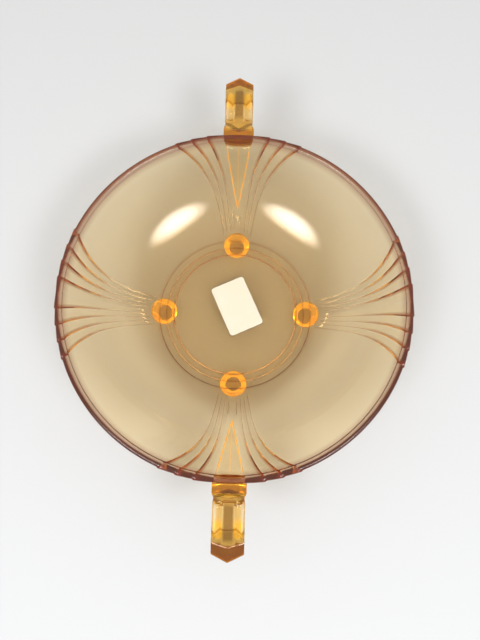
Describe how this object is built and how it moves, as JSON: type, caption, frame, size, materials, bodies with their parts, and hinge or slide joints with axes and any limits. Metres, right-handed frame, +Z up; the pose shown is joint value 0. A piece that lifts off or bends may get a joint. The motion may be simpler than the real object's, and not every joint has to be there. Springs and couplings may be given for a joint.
{
  "type": "candy dish",
  "caption": "Round shallow bowl of peach-tinted pressed glass on four short tapered feet, with fans of curved flutes and a loop handle at each side.",
  "frame": {"origin": "on the plane the feet stand on, below the centre of the bowl", "axes": "+Z up out of the mouth, +Y towards the back handle, +X towards the right foot"},
  "size_m": [0.1786, 0.245, 0.0494],
  "materials": {
    "glass": "clear peach-tinted glass, gloss",
    "thick_glass": "the same glass where it is thick and shows amber, gloss",
    "paper": "blank cream paper, matt"
  },
  "bodies": {
    "root": {"bowl": "glass", "handle_back": "thick_glass", "handle_front": "thick_glass", "foot_right": "thick_glass", "foot_back": "thick_glass", "foot_left": "thick_glass", "foot_front": "thick_glass", "paper_label": "paper"}
  },
  "joints": []
}
